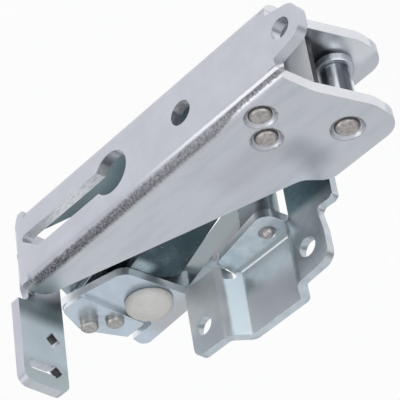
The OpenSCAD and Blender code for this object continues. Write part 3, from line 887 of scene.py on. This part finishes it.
@dataclass
class Lever:
    """Lever pack with its pins, strap and glide cap; sizes in millimetres."""

    shop: Workshop
    upper_end: Pivot = (-57.646, -22.722)
    lower_end: Pivot = (-54.845, -27.915)
    toe_step: float = 10.4
    glide: Pivot = (-46.445, -30.715)
    top_z: float = 5.3
    cap_r: float = 5.4
    cap_h: float = 2.9
    cap_skirt: float = 0.35
    cap_round: float = 2.6
    cap_crown: float = 0.4
    cap_droop: float = 3.2
    cap_lift: float = 0.02
    stem_r: float = 1.6
    stem_h: float = 2.0
    stem_cut: float = 0.1
    plate: ZincSheet = field(default_factory=lambda: ZincSheet(
        "plated_lever_sheet", colour=(0.57, 0.64, 0.71), shade=(0.49, 0.55, 0.61),
        # rim: painted highlight on the plate's side faces.
        rim=(0.86, 0.90, 0.92), patches=(
            # Painted reflection: a greyer, darker tone on the plate round and below the glide cap.
            Patch((-46.0, -42.0, 5.3), (5.0, 4.0, 1.0), (0.48, 0.485, 0.495),
                  1.0, 6.0, 0.0, Axis.Z),)))
    doubler: ZincSheet = field(default_factory=lambda: ZincSheet(
        "plated_doubler_sheet", colour=(0.50, 0.55, 0.59), shade=(0.42, 0.47, 0.51),
        # rim: painted shade on the doubler's side faces.
        rim=(0.30, 0.31, 0.33)))
    core: ZincSheet = field(default_factory=lambda: ZincSheet(
        # Darker colour and rim: painted shade on the core plates, set back between the others.
        "plated_core_sheet", colour=(0.42, 0.47, 0.50), shade=(0.32, 0.37, 0.40),
        rim=(0.30, 0.35, 0.37)))
    pin_colour: Colour = (0.5, 0.49, 0.46)
    nylon: Nylon = field(default_factory=lambda: Nylon("off_white_nylon"))

    def build(self) -> None:
        """Dress the pack and mould the glide cap."""
        for node in ("lever_top", "pin_strap"):
            self.shop.dress(node, self.plate, bevel=0.2)
        self.shop.dress("lever_doubler", self.doubler, bevel=0.18)
        for node in ("lever_base", "lever_core_far", "lever_core_near"):
            self.shop.dress(node, self.core, bevel=0.16)
        toe = (self.lower_end[0] + self.toe_step, self.lower_end[1] - self.toe_step)
        pins = {"lever_pin_upper": self.upper_end, "lever_pin_lower": self.lower_end,
                "toe_rivet": toe}
        for node, centre in pins.items():
            steel = RivetSteel(f"{node}_steel", centre, colour=self.pin_colour)
            self.shop.dress(node, steel, bevel=0.1)
        self.mould_cap()

    def mould_cap(self) -> None:
        """Build the low domed glide cap, slightly pressed out of round, over its node."""
        foot = self.top_z - self.stem_h
        seat = self.top_z + self.cap_lift
        crown_z = self.top_z + self.cap_h - self.cap_crown
        rise = self.cap_h - self.cap_skirt - self.cap_crown
        profile = [(0.0, foot), (self.stem_r - self.stem_cut, foot),
                   (self.stem_r, foot + self.stem_cut), (self.stem_r, seat),
                   (self.cap_r - self.cap_skirt, seat)]
        steps = 12
        for step in range(steps + 1):
            turn = math.pi / 2 * step / steps
            radius = self.cap_r - self.cap_round + self.cap_round * math.cos(turn) ** 0.9
            height = self.top_z + self.cap_skirt + rise * math.sin(turn) ** 0.8
            profile.append((radius, height))
        for share in (0.4, 0.25, 0.1):
            fall = 1 - share * share * self.cap_droop
            profile.append((self.cap_r * share, crown_z + self.cap_crown * fall))
        profile.append((0.0, self.top_z + self.cap_h))
        mesh = self.shop.lathe("glide_cap_moulding", self.glide, profile, segments=96,
                               wobble=0.012)
        made = self.shop.piece("glide_cap_moulding", mesh, "lever", self.nylon, "nylon")
        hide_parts("glide_cap")


@dataclass
class Bracket:
    """Hat-shaped screw bracket with its stud and link pin; sizes in millimetres."""

    shop: Workshop
    stud: Pivot = (-12.428, -34.33)
    link_end: Pivot = (-2.028, -29.13)
    stud_colour: Colour = (0.52, 0.50, 0.48)
    sheet: ZincSheet = field(default_factory=lambda: ZincSheet(
        "plated_bracket_sheet", colour=(0.60, 0.65, 0.68), shade=(0.47, 0.52, 0.55),
        # A weaker painted highlight on the broken edges; the patches are painted light and shade.
        mottle=2.6, grain=Grain.ACROSS, edge_highlight=0.2, patches=(
            # Painted light on the left ear.
            Patch((-34.0, -34.6, 12.0), (5.6, 0.8, 14.0), (0.66, 0.68, 0.69),
                  0.9, 0.9, 0.3, Axis.Y),
            # Painted shade towards the left ear's end.
            Patch((-34.0, -34.6, 22.0), (5.6, 0.8, 2.0), (0.46, 0.50, 0.53),
                  0.7, 3.5, 0.0, Axis.Y),
            # Painted light on the plateau's lower part, lighter and less metallic.
            Patch((-19.0, -39.0, 20.0), (8.0, 0.6, 4.0), (0.60, 0.62, 0.65),
                  0.95, 5.0, 0.35, Axis.Y),
            # Painted shadow of the channel along the plateau's top.
            Patch((-19.0, -39.0, 8.0), (8.0, 0.6, 1.0), (0.43, 0.46, 0.475),
                  0.85, 4.0, 0.0, Axis.Y),
            # Painted light on the left wall's face that looks along X.
            Patch((-26.4, -37.2, 15.0), (1.1, 1.6, 14.0), (0.68, 0.77, 0.81),
                  1.0, 0.7, 0.65, Axis.X),
            # Painted dark reflection along the bend between lug and plateau.
            Patch((-19.0, -38.4, 6.9), (8.5, 0.8, 0.7), (0.37, 0.41, 0.43), 0.75, 0.6),
            # Painted shade on the lug's corner by the stud.
            Patch((-10.0, -35.3, 7.4), (1.4, 1.8, 0.5), (0.36, 0.41, 0.44),
                  0.8, 2.2, 0.0, Axis.Z),
            # Painted shadow of the channel on the right ear.
            Patch((0.0, -34.6, 1.0), (9.0, 1.0, 5.0), (0.12, 0.20, 0.235),
                  0.9, 3.0, 0.0, Axis.Y))))

    def build(self) -> None:
        """Dress the bracket and its pins."""
        stud = RivetSteel("bracket_stud_steel", self.stud, colour=self.stud_colour)
        self.shop.dress("bracket", self.sheet, bevel=0.22)
        self.shop.dress("bracket_stud", stud, bevel=0.1)
        self.shop.dress("link_pin", RivetSteel("link_pin_steel", self.link_end), bevel=0.1)


@dataclass(frozen=True)
class Lamp:
    """Square soft lamp: place and side in metres, power in watts."""

    name: str
    place: Point
    side: float
    power: float
    colour: Colour

    def hang(self, target: Point) -> None:
        """Hang the lamp so that it faces the target."""
        data = bpy.data.lights.new(self.name, "AREA")
        data.shape = "SQUARE"
        data.size = self.side
        data.energy = self.power
        data.color = self.colour
        made = bpy.data.objects.new(self.name, data)
        made.location = self.place
        aim = Vector(target) - Vector(self.place)
        made.rotation_euler = aim.to_track_quat("-Z", "Y").to_euler()
        bpy.context.scene.collection.objects.link(made)


@dataclass
class Studio:
    """Pale floor, soft lamps, white surroundings and the photograph's camera; metres.

    The camera's eye, directions and lens come from straight edges and round holes of the object.
    sky is what the metal mirrors from the floor's side, at 0, to overhead, at 1: it is dark a
    little above the horizon, but not on the open side, which starts over open_y.
    """

    floor_z: float = -0.075
    floor_half: float = 4.0
    floor_colour: Colour = (0.9, 0.9, 0.9)
    floor_glow: float = 0.85
    eye: Point = (0.20292, 0.21951, 0.26334)
    right: Point = (0.66017, -0.74084, 0.12380)
    up: Point = (0.53542, 0.34856, -0.76931)
    lens: float = 179.46
    sensor: float = 36.0
    clip: Span = (0.01, 20.0)
    target: Point = (-0.012, -0.018, 0.006)
    sky: tuple[tuple[float, Colour], ...] = (
        (0.0, (0.80, 0.80, 0.82)), (0.46, (0.80, 0.82, 0.84)), (0.52, (0.16, 0.19, 0.21)),
        (0.64, (0.14, 0.17, 0.19)), (0.72, (0.60, 0.62, 0.64)), (0.80, (0.80, 0.82, 0.85)),
        (1.0, (0.98, 0.98, 1.0)))
    open_y: Span = (0.25, 0.6)
    open_colour: Colour = (0.80, 0.81, 0.84)
    sky_strength: float = 0.85
    lamps: tuple[Lamp, ...] = (
        Lamp("key_lamp", (-0.25, 0.55, 0.55), 0.5, 1.7, (1.0, 0.99, 0.97)),
        Lamp("fill_lamp", (0.62, 0.20, 0.22), 0.6, 2.8, (0.95, 0.97, 1.0)),
        Lamp("back_lamp", (-0.5, -0.5, 0.3), 0.5, 0.3, (0.92, 0.96, 1.0)))

    def build(self) -> None:
        """Build everything round the hinge."""
        self.lay_floor()
        self.light_world()
        for lamp in self.lamps:
            lamp.hang(self.target)
        self.place_camera()

    def lay_floor(self) -> None:
        """Lay a wide pale floor that keeps the hinge's soft shadow."""
        shape = bmesh.new()
        bmesh.ops.create_grid(shape, x_segments=8, y_segments=8, size=self.floor_half)
        mesh = bpy.data.meshes.new("floor")
        shape.to_mesh(mesh)
        shape.free()
        floor = bpy.data.objects.new("floor", mesh)
        floor.location = (0, 0, self.floor_z)
        bpy.context.scene.collection.objects.link(floor)
        s = Shader.named("pale_floor")
        camera, glossy, through = s.outputs("ShaderNodeLightPath", None, (
            "Is Camera Ray", "Is Glossy Ray", "Is Transmission Ray"))
        seen = camera.largest(glossy).largest(through)
        matt = s.node("ShaderNodeBsdfDiffuse", None, {"Color": (*self.floor_colour, 1.0)})
        glow = s.node("ShaderNodeEmission", None, {"Color": (*WHITE, 1.0), "Strength": 1.0})
        mixed = {0: seen * self.floor_glow, 1: matt, 2: glow}
        mesh.materials.append(s.close(s.node("ShaderNodeMixShader", None, mixed)))

    def light_world(self) -> None:
        """Surround the hinge with a studio that looks white and mirrors as the sky."""
        s = Shader(bpy.data.worlds.new("studio"))
        bpy.context.scene.world = s.owner
        camera, through = s.outputs("ShaderNodeLightPath", None, (
            "Is Camera Ray", "Is Transmission Ray"))
        way = s.node("ShaderNodeTexCoord", output="Generated")
        _, y, z = s.outputs("ShaderNodeSeparateXYZ", {"Vector": way}, "XYZ")
        lift = s.node("ShaderNodeMapRange", None, {"Value": z, "From Min": -1.0, "From Max": 1.0})
        sky = s.node("ShaderNodeValToRGB", {"stops": self.sky}, {"Fac": lift})
        sky = s.mix(y.ramp(*self.open_y), sky, self.open_colour)
        mirrored = s.node("ShaderNodeBackground", None,
                          {"Color": sky, "Strength": self.sky_strength})
        white = s.node("ShaderNodeBackground", None, {"Color": (*WHITE, 1.0)})
        mixed = {0: camera.largest(through), 1: mirrored, 2: white}
        s.close(s.node("ShaderNodeMixShader", None, mixed), "ShaderNodeOutputWorld")

    def place_camera(self) -> None:
        """Put the camera where the photograph was taken from."""
        data = bpy.data.cameras.new("photo_camera")
        data.sensor_width = self.sensor
        data.sensor_fit = "HORIZONTAL"
        data.lens = self.lens
        data.clip_start, data.clip_end = self.clip
        made = bpy.data.objects.new("photo_camera", data)
        right = Vector(self.right).normalized()
        up = (Vector(self.up) - right * right.dot(Vector(self.up))).normalized()
        turn = Matrix((right, up, right.cross(up))).transposed().to_4x4()
        made.matrix_world = Matrix.Translation(Vector(self.eye)) @ turn
        bpy.context.scene.collection.objects.link(made)
        bpy.context.scene.camera = made


def main() -> None:
    """Build the sub-assemblies in order, then the studio."""
    logging.basicConfig(level=logging.INFO, format="%(name)s: %(message)s")
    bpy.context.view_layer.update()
    bpy.context.scene.view_settings.view_transform = "Standard"
    shop = Workshop()
    for part in (Channel(shop), Arms(shop), Lever(shop), Bracket(shop)):
        part.build()
    Studio().build()


if __name__ == "__main__":
    main()
